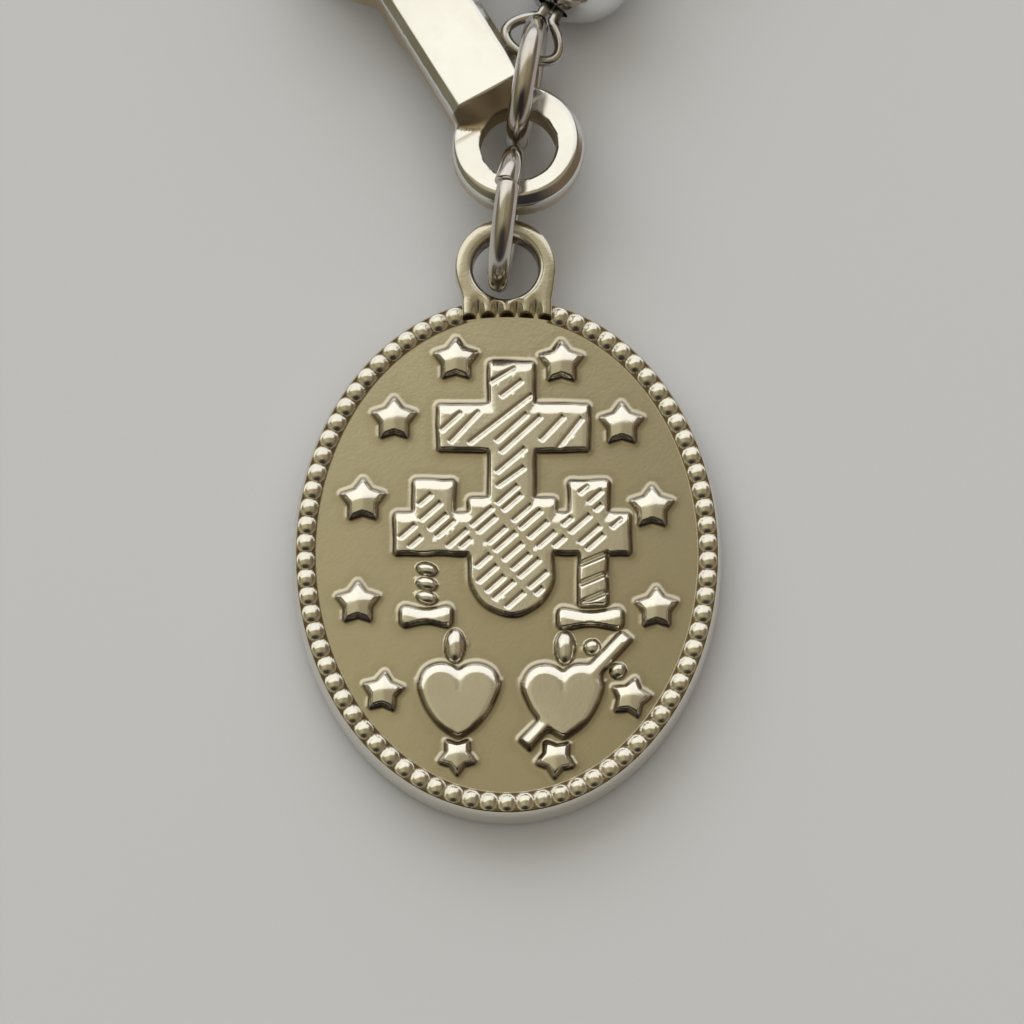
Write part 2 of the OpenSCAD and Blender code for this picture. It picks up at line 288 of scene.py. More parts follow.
def join(a, b, soft):
    """Both solids, melted together over the width soft."""
    share = np.clip(0.5 + 0.5 * (b - a) / soft, 0, 1)
    return b + (a - b) * share - soft * share * (1 - share)


def cut(a, b, soft):
    """The first solid without the second, with its new edges rounded."""
    return -join(-a, b, soft)


def common(a, b, soft):
    """What both solids share, with its new edges rounded."""
    return -join(-a, -b, soft)


def corner_distance(a, b):
    """Signed distance to a square corner, from the distance to each of its faces."""
    return np.minimum(np.maximum(a, b), 0) + np.hypot(np.maximum(a, 0), np.maximum(b, 0))


def oval_distance(x, y, half_x, half_y):
    """Nearly the distance in plan to an oval, and just right at its edge."""
    reach = np.hypot(x / half_x, y / half_y)
    slope = np.maximum(np.hypot(x / half_x**2, y / half_y**2), 1e-6)
    return reach * (reach - 1) / slope


def plate(flat, z, bottom, top, rounding):
    """A plate between two heights, from its outline's distance in plan, with rounded edges."""
    tall = np.abs(z - (bottom + top) / 2) - (top - bottom) / 2
    return corner_distance(flat + rounding, tall + rounding) - rounding


def segment_distance(x, y, start, end):
    """Distance in plan to the line from start to end."""
    run = np.subtract(end, start)
    share = np.clip(((x - start[0]) * run[0] + (y - start[1]) * run[1]) / (run @ run), 0, 1)
    return np.hypot(x - start[0] - share * run[0], y - start[1] - share * run[1])


def box_distance(x, y, left, bottom, right, top):
    """Signed distance in plan to an upright rectangle."""
    dx = np.abs(x - (left + right) / 2) - (right - left) / 2
    dy = np.abs(y - (bottom + top) / 2) - (top - bottom) / 2
    return corner_distance(dx, dy)


def polygon_distance(x, y, corners):
    """Signed distance in plan to a closed polygon."""
    nearest = np.full(np.shape(x), 1e9)
    inside = np.zeros(np.shape(x), bool)
    for i, start in enumerate(corners):
        end = corners[(i + 1) % len(corners)]
        nearest = np.minimum(nearest, segment_distance(x, y, start, end))
        between = (start[1] > y) != (end[1] > y)
        rise = end[1] - start[1] if end[1] != start[1] else 1e-9
        inside ^= between & (x < start[0] + (y - start[1]) * (end[0] - start[0]) / rise)
    return np.where(inside, -nearest, nearest)


def gradient_of(distance, points, offset):
    """How fast a distance function grows along each axis."""
    columns = []
    for axis in range(3):
        ahead, behind = points.copy(), points.copy()
        ahead[:, axis] += offset
        behind[:, axis] -= offset
        columns.append((distance(*ahead.T) - distance(*behind.T)) / (2 * offset))
    return np.stack(columns, 1)


def surface_of(distance, low, high, voxel):
    """Points, faces and normals of the surface where a distance function is zero.

    The points of the voxel surface are moved onto the exact one in three steps along the slope.
    """
    margin, offset = 3 * voxel, 0.2 * voxel
    low = np.asarray(low) - margin
    axes = [np.arange(a, b + margin, voxel) for a, b in zip(low, high)]
    values = distance(*np.meshgrid(*axes, indexing="ij"))
    grid = vdb.FloatGrid(margin)
    grid.copyFromArray(np.clip(values, -margin, margin).astype(np.float32))
    points, quads = grid.convertToQuads(0.0)
    points = points.astype(float) * voxel + low
    for _ in range(3):
        value, slope = distance(*points.T), gradient_of(distance, points, offset)
        step = value / np.maximum((slope**2).sum(1), 0.05)
        points -= np.clip(step, -voxel / 2, voxel / 2)[:, None] * slope
    normals = gradient_of(distance, points, offset)
    normals /= np.maximum(np.linalg.norm(normals, axis=1), 1e-9)[:, None]
    corner = points[quads]
    facing = np.cross(corner[:, 1] - corner[:, 0], corner[:, 2] - corner[:, 0])
    if (facing * normals[quads[:, 0]]).sum() < 0:
        quads = quads[:, ::-1]
    return points, quads, normals


def placed(points, origin, turn):
    """Points of a piece's own axes, turned about Z and moved in plan."""
    c, s = math.cos(turn), math.sin(turn)
    x, y = points[:, 0] * c - points[:, 1] * s, points[:, 0] * s + points[:, 1] * c
    return np.stack([x + origin[0], y + origin[1], points[:, 2]], 1)


# String of beads
BEAD_NODES = [name for name in sorted(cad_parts) if name.startswith("bead_")]
HOLE_EDGE_R = 0.12
BEAD_SIDES, BALL_STEPS, HOLE_EDGE_STEPS = 40, 27, 6
bead_mids = np.array([mid_mm(name) for name in BEAD_NODES])


def bead_profile():
    """A drilled ball's section as (along the hole, away from it), with the hole's edges broken."""
    away = BEAD_HOLE_R + HOLE_EDGE_R
    edge_mid = np.array([math.sqrt((BEAD_R - HOLE_EDGE_R) ** 2 - away**2), away])
    meet = math.atan2(*edge_mid)
    lip_turn = np.linspace(math.pi, meet, HOLE_EDGE_STEPS)
    lip = edge_mid + HOLE_EDGE_R * np.stack([np.sin(lip_turn), np.cos(lip_turn)], 1)
    turn = np.linspace(meet, -meet, BALL_STEPS)[1:-1]
    ball = BEAD_R * np.stack([np.sin(turn), np.cos(turn)], 1)
    return np.concatenate([lip, ball, lip[::-1] * [-1, 1]])


def bead_points(middle, heading):
    """The section turned about the hole's direction, in rows round the hole."""
    profile = bead_profile()
    turn = np.linspace(0, 2 * math.pi, BEAD_SIDES, endpoint=False)
    along = np.array([heading[0], heading[1], 0.0])
    side = np.array([-heading[1], heading[0], 0.0])
    round_it = np.cos(turn)[:, None] * side + np.sin(turn)[:, None] * np.array([0, 0, 1.0])
    points = profile[None, :, :1] * along + profile[None, :, 1:] * round_it[:, None, :]
    return points.reshape(-1, 3) + middle, grid_quads(BEAD_SIDES, len(profile), True, True)


bead_metal = polished_metal("bead_steel", (0.74, 0.74, 0.75), (0.60, 0.59, 0.57), 0.05, 0.12, 0.004)
for i, name in enumerate(BEAD_NODES):
    ahead = bead_mids[min(i + 1, len(bead_mids) - 1)] - bead_mids[max(i - 1, 0)]
    points, quads = bead_points(bead_mids[i], ahead[:2] / np.hypot(*ahead[:2]))
    dress(f"ball_{name[-2:]}", new_mesh(f"{name}_round", points, quads), bead_metal, [name])


# Wire: a drop-shaped loop beyond each end bead, its tail going back into that bead
# Heading of the string at its first bead. At its last bead it is the mirror image.
STRING_TURN = math.radians(60)
LOOP_TIP, LOOP_LEN, LOOP_HALF_W = 2.1, 1.7, 1.3
TAIL_SIDE, TAIL_PLACES = 0.24, (0.6, 1.4, 1.85)
WIRE_SIDES = 12


def loop_track():
    """From the tail's tip round the loop, as (distance from the end bead's middle, to the side)."""
    turn = np.radians(np.arange(36, 325, 9))
    drop = np.stack([
        LOOP_TIP + LOOP_LEN * (1 - np.cos(turn)) / 2,
        -LOOP_HALF_W * np.sin(turn) * np.sin(turn / 2),
    ], 1)
    tail = [(place, -TAIL_SIDE) for place in TAIL_PLACES]
    back = [(place, TAIL_SIDE) for place in TAIL_PLACES[:0:-1]]
    return np.concatenate([tail, drop, back])


def loop_points(bead_mid, turn):
    """The loop's track beyond an end bead, for the direction of the string there."""
    along = np.array([math.cos(turn), math.sin(turn), 0.0])
    side = np.array([-along[1], along[0], 0.0])
    track = loop_track()
    sign = 1 if math.cos(turn) > 0 else -1
    return bead_mid - track[:, :1] * along + sign * track[:, 1:] * side


wire_path = np.concatenate([
    loop_points(bead_mids[0], STRING_TURN),
    bead_mids,
    loop_points(bead_mids[-1], math.pi - STRING_TURN)[::-1],
])
points, quads = flat_tube(wire_path, WIRE_R, WIRE_SIDES)
wire_metal = polished_metal("wire_steel", (0.62, 0.61, 0.59), (0.45, 0.44, 0.42), 0.18, 0.3, 0.004)
dress("wire_with_loops", new_mesh("wire", points, quads), wire_metal, ["beading_wire"])


# Jump rings, each bent shut with a fine cut
END_ROUNDING = 0.05
RING_SECTIONS, RING_SIDES = 170, 28


def ring_points(middle, heading, cut_at, slit, offset):
    """Points and faces of an upright ring. Angles run from the heading's end of the ring over its top."""
    radius = middle[2] - RING_WIRE_R
    half = slit / 2 / radius
    turn = math.radians(cut_at) + np.linspace(half, 2 * math.pi - half, RING_SECTIONS)
    near_end = np.array([0.0, 0.006, 0.014, 0.024])
    turn = np.concatenate([turn[0] + near_end, turn[3:-3], turn[-1] - near_end[::-1]])
    from_end = np.minimum(turn - turn[0], turn[-1] - turn) * radius
    round_off = np.sqrt(np.clip(1 - (1 - from_end / END_ROUNDING).clip(0) ** 2, 0, 1))
    radii = RING_WIRE_R * (0.85 + 0.15 * round_off)
    radii[[0, -1]] = TIP_R
    turn[[0, -1]] = turn[[1, -2]]
    along = np.array([math.cos(heading), math.sin(heading), 0.0])
    normal = np.array([-along[1], along[0], 0.0])
    path = middle + radius * (np.cos(turn)[:, None] * along + np.sin(turn)[:, None] * np.array([0, 0, 1.0]))
    spring = np.clip(1 - (turn[-1] - turn) / 0.5, 0, 1) ** 2
    path = path + offset * spring[:, None] * normal
    across = path - middle
    across /= np.linalg.norm(across, axis=1)[:, None]
    return tube_wall(path, radii, across, normal, RING_SIDES)


ring_metal = polished_metal("ring_steel", (0.62, 0.59, 0.55), (0.43, 0.375, 0.32), 0.14, 0.28, 0.006)
# Heading in degrees, then the cut: its place in degrees, its width and the step between its ends
RINGS = {
    "medal_ring": (83.0, 75, 0.10, 0.10),
    "link_ring": (79.8, 205, 0.07, 0.06),
    "tail_ring": (120.0, 150, 0.07, 0.06),
}
for name, (heading, *cut_sizes) in RINGS.items():
    points, quads = ring_points(mid_mm(name), math.radians(heading), *cut_sizes)
    dress(f"{name}_bent", new_mesh(f"{name}_wire", points, quads), ring_metal, [name])


# Lobster clasp: its X axis runs from the end ring to the claw's tip
CLASP_ORIGIN = MEDAL_MID + CLASP_FROM_MEDAL
CLASP_TOP, CLAW_BOTTOM = 3.4, 0.95
END_RING_IN, END_RING_OUT, END_RING_BOTTOM, END_RING_TOP = 1.28, 2.25, 1.55, 2.89
ARM_START, ARM_END, ARM_HALF_W, ARM_BEVEL = 0.6, 8.1, 1.45, 0.29
# How the tops of the end ring and the arm lean, and where the arm's lean starts and how far it runs
RING_LEAN, ARM_LEAN = math.tan(math.radians(8)), math.tan(math.radians(6))
LEAN_START, LEAN_RUN = 1.9, 4.7
# The arm's slope down to the ring: height at its foot, rise, and where it meets the arm's top
SLOPE_FOOT, SLOPE_RISE, SLOPE_END = 2.70, 0.85, 2.0
CLAW_START, CLAW_MID, CLAW_HALF = 5.9, (10.8, 0.0), (4.1, 3.0)
MOUTH_MID, MOUTH_HALF = (11.1, 0.1), (2.6, 1.75)
GATE_START, GATE_TOP, HOOK_START = 8.8, -0.45, 10.4
PIN, PIN_R, HUB_R, BORE_R = np.array([7.5, -1.15]), 0.45, 0.95, 0.5
LEVER_REACH, LEVER_GAP, SLOT_GAP = 5.35, 0.12, 0.1
LEVER_BOTTOM, LEVER_TOP = 1.55, 2.8
TAB_MID, TAB_R = (0.9, -2.05), 0.62
# Colour of the clasp's painted shade
CLASP_SHADE = (0.44, 0.33, 0.18)


def claw_plan(x, y, grow=0.0):
    return oval_distance(x - CLAW_MID[0], y - CLAW_MID[1], CLAW_HALF[0] + grow, CLAW_HALF[1] + grow)


def mouth_plan(x, y, shift=0.0):
    return oval_distance(x - MOUTH_MID[0], y - MOUTH_MID[1] - shift, *MOUTH_HALF)


def from_pin(x, y, reach):
    """Signed distance in plan to a circle about the lever's pin."""
    return np.hypot(x - PIN[0], y - PIN[1]) - reach


def end_ring_distance(x, y, z):
    """The end ring: its top sinks a little towards the claw, and its bevel is narrowest there."""
    away, turn = np.hypot(x, y), np.arctan2(y, x)
    top = END_RING_TOP - RING_LEAN * x
    drift = 0.02 * np.cos(7 * turn + 0.6) + 0.01 * np.cos(13 * turn)
    flat = np.maximum(away - END_RING_OUT, END_RING_IN + drift - away)
    tall = np.abs(z - (END_RING_BOTTOM + top) / 2) - (top - END_RING_BOTTOM) / 2
    bevel = 0.20 - 0.13 * x / np.maximum(away, 0.5)
    slant = (away - END_RING_OUT + tall + bevel) / math.sqrt(2)
    return common(plate(flat, z, END_RING_BOTTOM, top, 0.04), slant, 0.07)


def arm_distance(x, y, z):
    """The arm: broad flat faces with bevelled edges. A hollow slope leads from its top down to the ring."""
    bottom = END_RING_BOTTOM + (CLAW_BOTTOM - END_RING_BOTTOM) * ease(x, 4.7, 5.8)
    sunk = ARM_LEAN * np.clip(x - LEAN_START, 0, LEAN_RUN)
    top = CLASP_TOP + 0.10 - sunk + (ARM_LEAN * LEAN_RUN - 0.12) * ease(x, 6.6, 7.8)
    side, tall = np.abs(y) - ARM_HALF_W, np.abs(z - (bottom + top) / 2) - (top - bottom) / 2
    slant = (side + tall + ARM_BEVEL) / math.sqrt(2)
    bar = common(common(side, tall, 0.04), slant, 0.05)
    bar = common(common(bar, x - ARM_END, 0.1), ARM_START - x, 0.1)
    slope_start = 0.93 + 0.30 * y * y
    share = np.clip((x - slope_start) / np.maximum(SLOPE_END - slope_start, 0.2), -0.5, 1.3)
    slope = SLOPE_FOOT + np.where(share > 0, SLOPE_RISE * np.abs(share) ** 1.5, 1.2 * share)
    return common(bar, 0.6 * (z - slope), 0.05)


def claw_distance(x, y, z):
    """The claw before its mouth is cut, and the mouth, which widens at its top and bottom."""
    hook = ease(x, HOOK_START - 0.7, HOOK_START + 0.7)
    bottom, top = CLAW_BOTTOM + 0.25 * hook, CLASP_TOP - 0.3 * hook
    claw = common(plate(claw_plan(x, y), z, bottom, top, 0.42), CLAW_START - x, 0.2)
    flare = np.clip(np.abs(z - (bottom + top) / 2) / ((top - bottom) / 2) - 0.55, 0, 1) ** 2
    return claw, mouth_plan(x, y) - 0.12 * flare


def clasp_body_distance(x, y, z):
    """End ring, arm and claw melted together, then opened for the lever, with the lever's pin."""
    claw, mouth = claw_distance(x, y, z)
    body = join(join(end_ring_distance(x, y, z), arm_distance(x, y, z), 0.14), claw, 0.25)
    hole_flare = 0.9 * np.clip(np.abs(z - 2.25) - 0.45, 0, 1) ** 2
    body = common(body, END_RING_IN - np.hypot(x, y) + hole_flare, 0.03)
    body = cut(body, mouth, 0.16)
    lever_room = from_pin(x, y, LEVER_REACH + LEVER_GAP)
    gate = common(common(lever_room, GATE_START - x, 0.02), y - GATE_TOP, 0.02)
    body = cut(body, gate, 0.1)
    edge = HUB_R + SLOT_GAP
    lever_side = [(-edge, 0), (-edge, -5), (7, -5), (7, 1.2), (0, edge)]
    slot = np.minimum(from_pin(x, y, edge), polygon_distance(x - PIN[0], y - PIN[1], lever_side))
    slot = common(slot, lever_room, 0.02)
    tall = np.abs(z - (LEVER_BOTTOM + LEVER_TOP) / 2) - (LEVER_TOP - LEVER_BOTTOM) / 2 - SLOT_GAP
    body = cut(body, np.maximum(slot, tall), 0.05)
    pin = plate(from_pin(x, y, PIN_R), z, CLAW_BOTTOM + 0.2, CLASP_TOP + 0.05, 0.06)
    groove = np.hypot(from_pin(x, y, PIN_R + 0.04), z - CLASP_TOP) - 0.055
    return cut(np.minimum(body, pin), groove, 0.03)


def lever_distance(x, y, z):
    """The lever: a drilled hub, an arc that closes the claw and a tab to open it by, with a web between."""
    u, v = x - PIN[0], y - PIN[1]
    arc = common(claw_plan(x, y, -0.05), np.abs(y + 2.8) - 2.2, 0.1)
    arc = common(arc, common(from_pin(x, y, LEVER_REACH), -u, 0.1), 0.12)
    tab = np.hypot(u - TAB_MID[0], v - TAB_MID[1]) - TAB_R
    web = polygon_distance(u, v, [(0.3, -0.85), (0.3, -2.15), (1.5, -2.15), (1.8, -1.25)])
    plan = join(join(from_pin(x, y, HUB_R), arc, 0.25), np.minimum(tab, web + 0.02), 0.25)
    plan = cut(plan, mouth_plan(x, y, -0.08), 0.15)
    lever = plate(plan, z, LEVER_BOTTOM, LEVER_TOP, 0.16)
    return cut(lever, from_pin(x, y, BORE_R), 0.03)


def clasp_low(points):
    """Painted shade in the end ring's hole, on all lower parts and on the slope above the ring."""
    x, y, z = points.T
    # Painted shade: darkest in the hole, then on the lower sides and on the slope
    in_hole = 0.9 * ease(1.40 - np.hypot(x, y), 0, 0.08) * ease(2.8 - z, 0, 0.12)
    lower = (0.62 + 0.18 * ease(x, 1.4, 2.2)) * ease(2.62 - z, 0, 0.3)
    on_slope = 0.75 * ease(x, 0.95, 1.25) * ease(1.98 - x, 0, 0.1) * (z > 2.72)
    return np.maximum(np.maximum(in_hole, lower), on_slope)


clasp_metal = polished_metal(
    "clasp_steel", (0.745, 0.745, 0.72), (0.64, 0.615, 0.57), 0.09, 0.2, 0.008, CLASP_SHADE
)
# Piece, CAD node, body, distance function, voxel, and the lowest and highest corner round it
CLASP_PIECES = (
    ("clasp_cast", "clasp_body", BODY, clasp_body_distance, 0.074, (-2.3, -3.1, 0.9), (15.0, 3.1, 3.6)),
    ("lever_cast", "clasp_lever", "lever", lever_distance, 0.062, (6.4, -4.0, 1.5), (13.0, 0.0, 2.85)),
)
for name, node, body, distance, voxel, low, high in CLASP_PIECES:
    points, quads, normals = surface_of(distance, low, high, voxel)
    turned = placed(normals, (0, 0), CLASP_TURN)
    mesh = new_mesh(f"{name}_skin", placed(points, CLASP_ORIGIN, CLASP_TURN), quads, turned)
    paint(mesh, "low", clasp_low(points))
    dress(name, mesh, clasp_metal, [node], body)


# Medal, in millimetres from the point that its relief is placed from. Heights of the relief are over
# the field, and all others over the medal's back.
HALF_W, HALF_H, OVAL_Y = MEDAL_W / 2, MEDAL_H / 2 + 0.1, OVAL_MID_Y + 0.1
FIELD_INSET, RELIEF_H = 0.55, 0.30
# Beads of the rim: how many, their distance from the edge, half their size across the rim and along it,
# and their height over the field
RIM_BEADS, RIM_BEAD_INSET, RIM_BEAD_HALF, RIM_BEAD_H = 78, 0.46, (0.31, 0.335), 0.15
# Between its beads the rim slopes down and meets the field this far from the edge
RIM_W, RIM_SLOPE = 0.84, 0.07
# The medal's edge from its back up, as distance from the edge and height
EDGE = (
    (0.32, 0.0), (0.2, 0.015), (0.1, 0.07), (0.03, 0.19), (0.0, 0.4), (0.0, 0.75), (0.012, 1.0),
    (0.035, 1.2), (0.07, 1.38), (0.11, 1.52), (0.15, 1.61),
)
# Middle, turn in degrees and reach of each star
STARS = (
    (-1.73, 6.93, 0, 0.70), (1.83, 6.84, 0, 0.70), (-3.80, 4.84, 0, 0.70), (3.85, 4.67, 0, 0.70),
    (-4.83, 2.01, 0, 0.70), (4.85, 1.77, 0, 0.69), (-4.97, -1.52, 0, 0.68), (4.97, -1.70, 0, 0.66),
    (-4.10, -4.56, -5, 0.63), (4.09, -4.75, -14, 0.62), (-1.64, -6.72, 180, 0.57), (1.61, -6.80, 176, 0.60),
)
# Edges of the cross's upright and arms, its step, the altar, its end blocks and its right leg, each as
# left, bottom, right, top
BLOCKS = (
    (-0.62, 0.80, 0.93, 6.87), (-2.34, 3.72, 2.77, 5.38), (-1.30, 0.80, 1.65, 2.10),
    (-3.77, 0.14, 4.13, 1.59), (-3.15, 0.80, -1.75, 2.73), (2.05, 0.80, 3.40, 2.70),
    (2.38, -1.62, 3.34, 0.80),
)
# The cloth, half round below and straight above up to the altar
CLOTH_MID, CLOTH_R, CLOTH_TOP = (0.15, -0.55), 1.40, 0.8
# The left leg is three beads, stacked askew
LEFT_LEG_X, LEFT_LEG_LEVELS = -2.67, (-0.37, -0.86, -1.34)
# Left end, right end and level of each leg's foot
FEET = ((-3.53, -1.85, -1.97), (1.70, 3.83, -2.06))
FOOT_HALF_H = 0.34
# Grooves as the ends of each, first those of the cross, then those of the right leg
CROSS_GROOVES = (
    (-0.50, 6.09, 0.25, 6.56), (-0.15, 5.62, 0.46, 6.10), (-1.21, 3.98, 0.80, 5.60),
    (-0.31, 4.06, 0.63, 4.93), (-0.16, 3.67, 1.09, 4.84), (-2.16, 4.42, -1.57, 4.98),
    (-1.86, 4.03, -0.96, 5.02), (1.18, 4.09, 1.87, 4.84), (1.75, 3.81, 2.49, 4.77),
    (-0.30, 2.97, 0.57, 3.73), (-0.26, 2.48, 0.54, 3.07),
)
LEG_GROOVES = ((2.50, -0.24, 3.36, 0.12), (2.50, -0.92, 3.42, -0.52), (2.52, -1.56, 3.40, -1.18))
GROOVE_DEPTH, LEG_GROOVE_DEPTH, GROOVE_ROUNDING = 0.10, 0.17, 0.08
# The altar's hatching: rows of dashes that end below the cross's grooves and keep off the right leg
HATCH_TURN, HATCH_PITCH, HATCH_CYCLE, HATCH_DASH = math.radians(42), 0.41, 1.14, 0.76
HATCH_MARGIN, HATCH_TOP, HATCH_RIGHT, LEG_TOP = 0.25, 2.55, 2.25, 0.3
HEARTS = ((-1.60, -4.55), (1.86, -4.58))
# A heart's lobe and the arc of its side, as distance aside, height and radius, and where the arc begins
HEART_LOBE, HEART_SIDE, HEART_SIDE_TOP = (0.60, 0.26, 0.70), (-1.0, 0.55, 2.32), 0.30
SWORD, SWORD_HALF_W = ((0.57, -6.36), (3.98, -2.62)), 0.25
# Middles of the flames and knobs, then their half width, half height and thickness
FLAMES, FLAME_SIZE = ((-1.73, -2.99), (1.92, -3.06)), (0.36, 0.60, 0.30)
KNOBS, KNOB_SIZE = ((2.83, -3.04), (3.67, -3.83)), (0.29, 0.29, 0.22)
# Cast forms: the cove at their foot and the steep edge above it
COVE_H, COVE_W, STEEP_H, STEEP_W = 0.07, 0.20, 0.08, 0.06


def wobble(x, y, size):
    """Small unevenness of a hand-cut die."""
    return size * (np.sin(2.1 * x + 1.3 * y + 0.7) * np.sin(1.7 * y - 0.9 * x)
                   + 0.6 * np.sin(5.3 * x + 0.4) * np.sin(4.9 * y + 1.1))


def rounded_block(x, y, edges, corner=0.12):
    """Signed distance in plan to a rectangle with rounded corners."""
    left, bottom, right, top = edges
    return box_distance(x, y, left + corner, bottom + corner, right - corner, top - corner) - corner


def altar_outline(x, y):
    """The cross and the altar with its cloth and right leg, in one form."""
    outline = np.full(np.shape(x), 9.0)
    for edges in BLOCKS:
        outline = join(outline, rounded_block(x, y, edges), 0.08)
    left, right = CLOTH_MID[0] - CLOTH_R, CLOTH_MID[0] + CLOTH_R
    cloth = np.hypot(x - CLOTH_MID[0], y - CLOTH_MID[1]) - CLOTH_R
    cloth = np.minimum(cloth, box_distance(x, y, left, CLOTH_MID[1], right, CLOTH_TOP - 0.1))
    return join(outline, np.maximum(cloth, y - CLOTH_TOP), 0.1) + wobble(x, y, 0.02)


def star_outline(x, y, place):
    """A five-pointed star, from one row of STARS."""
    turn, reach = math.radians(place[2]), (place[3], 0.62 * place[3])
    dx, dy = x - place[0], y - place[1]
    u, v = dx * math.cos(turn) + dy * math.sin(turn), dy * math.cos(turn) - dx * math.sin(turn)
    corners = []
    for i in range(10):
        angle = math.radians(90 + 36 * i)
        corners.append((reach[i % 2] * math.cos(angle), reach[i % 2] * math.sin(angle)))
    return polygon_distance(u, v, corners) - 0.05


def heart_outline(x, y, middle):
    """A heart of two round lobes over a blunt point with bulging sides."""
    dx, dy = np.hypot(x - middle[0], 0.07), y - middle[1]
    lobe = np.hypot(dx - HEART_LOBE[0], dy - HEART_LOBE[1]) - HEART_LOBE[2]
    side = np.hypot(dx - HEART_SIDE[0], dy - HEART_SIDE[1]) - HEART_SIDE[2]
    return join(lobe, common(side, dy - HEART_SIDE_TOP, 0.05), 0.12) - 0.02


def sword_outline(x, y):
    """A straight bar with rounded corners, which runs through the right heart."""
    start, run = SWORD[0], np.subtract(SWORD[1], SWORD[0])
    length = np.hypot(*run)
    along = ((x - start[0]) * run[0] + (y - start[1]) * run[1]) / length
    across = ((y - start[1]) * run[0] - (x - start[0]) * run[1]) / length
    return rounded_block(along, across, (0, -SWORD_HALF_W, length, SWORD_HALF_W), 0.08)


def hearts_outline(x, y):
    """Both hearts and the sword, in one form."""
    hearts = np.minimum(heart_outline(x, y, HEARTS[0]), heart_outline(x, y, HEARTS[1]))
    return join(hearts, sword_outline(x, y), 0.15) + wobble(x, y, 0.015)


def cove(edge):
    """Height of the hollow at a form's foot, from the distance inside the form's outline."""
    return COVE_H * np.clip(1 + edge / COVE_W, 0, 1) ** 2


def cast_form(outline, x, y, top=RELIEF_H, bevel=0.44, lean=0.18):
    """Height of a flat-topped cast form with a cove at its foot; its bevel is widest on its north side."""
    edge, inner = -outline(x, y), lean - outline(x, y + lean)
    shoulder = 1 - np.clip(1 - inner / bevel, 0, 1) ** 2
    wall = COVE_H + np.clip(edge / STEEP_W, 0, 1) * (STEEP_H + (top - COVE_H - STEEP_H) * shoulder)
    return np.where(edge < 0, cove(edge), wall)


def groove_depth(x, y, grooves, depth=GROOVE_DEPTH):
    """Depth of grooves cut aslant: a broad wall faces the upper left and a steep one is opposite."""
    share = np.zeros(np.shape(x))
    for x1, y1, x2, y2 in grooves:
        length = math.hypot(x2 - x1, y2 - y1)
        along = ((x2 - x1) / length, (y2 - y1) / length)
        travel = (x - x1) * along[0] + (y - y1) * along[1]
        side = (y - y1) * along[0] - (x - x1) * along[1]
        wall = np.clip(np.minimum((side + 0.11) / 0.15, (0.13 - side) / 0.09), 0, 1)
        past_end = np.maximum(np.abs(travel - length / 2) - length / 2, 0)
        round_end = np.sqrt(np.clip(1 - (past_end / GROOVE_ROUNDING) ** 2, 0, 1))
        share = np.maximum(share, wall * round_end)
    return depth * share


def hatch_grooves():
    """Short slanting grooves in rows. Each is as long as the stretch of its row that is clear."""
    along = np.array([math.cos(HATCH_TURN), math.sin(HATCH_TURN)])
    across = np.array([-along[1], along[0]])
    travel = np.arange(-8, 8, 0.03)
    grooves = []
    for i in range(-20, 21):
        line = travel[:, None] * along + (i * HATCH_PITCH + 0.05 * math.sin(2.7 * i)) * across
        clear = (altar_outline(line[:, 0], line[:, 1]) < -HATCH_MARGIN) & (line[:, 1] < HATCH_TOP)
        clear &= (line[:, 0] < HATCH_RIGHT) | (line[:, 1] > LEG_TOP)
        clear &= (travel + 0.1) % HATCH_CYCLE < HATCH_DASH + 0.08 * math.sin(1.9 * i)
        edges = np.flatnonzero(np.diff(np.concatenate([[0], clear.astype(int), [0]])))
        for first, last in zip(edges[::2], edges[1::2] - 1):
            if last - first > 5:
                grooves.append((*line[first], *line[last]))
    return grooves


def dome_height(x, y, middle, size):
    """Height of an oval dome, from its half width, half height and thickness."""
    share = ((x - middle[0]) / size[0]) ** 2 + ((y - middle[1]) / size[1]) ** 2
    return size[2] * np.clip(1 - share, 0, 1) ** 0.6


def left_leg(x, y):
    """Height of the left leg's three beads."""
    height = np.zeros(np.shape(x))
    for level in LEFT_LEG_LEVELS:
        dx, dy = x - LEFT_LEG_X, y - level
        height = np.maximum(height, dome_height(dx + 0.35 * dy, dy, (0, 0), (0.36, 0.25, 0.22)))
    return height


def feet_outline(x, y):
    """Two flat feet with a slight waist."""
    outline = np.full(np.shape(x), 9.0)
    for left, right, level in FEET:
        waist = 0.07 * np.cos((x - (left + right) / 2) / (right - left) * 2 * math.pi)
        edges = (left, level - FOOT_HALF_H, right, level + FOOT_HALF_H)
        outline = np.minimum(outline, rounded_block(x, y, edges, 0.2) + waist + 0.04)
    return outline


def star_height(x, y, place):
    """A star with a steep edge, a cove at its foot and a domed top."""
    edge = -star_outline(x, y, place)
    dome = 0.32 - 0.42 * ((x - place[0]) ** 2 + (y - place[1] + 0.05) ** 2)
    return np.where(edge < 0, cove(edge), COVE_H + (dome - COVE_H) * ease(edge, -0.01, 0.09))


def heart_shade(x, y):
    """Painted shade along the hearts' lower edges, from 0 to 1."""
    below = ease(hearts_outline(x, y - 0.20 - wobble(2 * x, 2 * y, 0.05)), 0.0, 0.09)
    return 0.8 * below * (hearts_outline(x, y) < 0) * ease(-y, 5.2, 5.7)


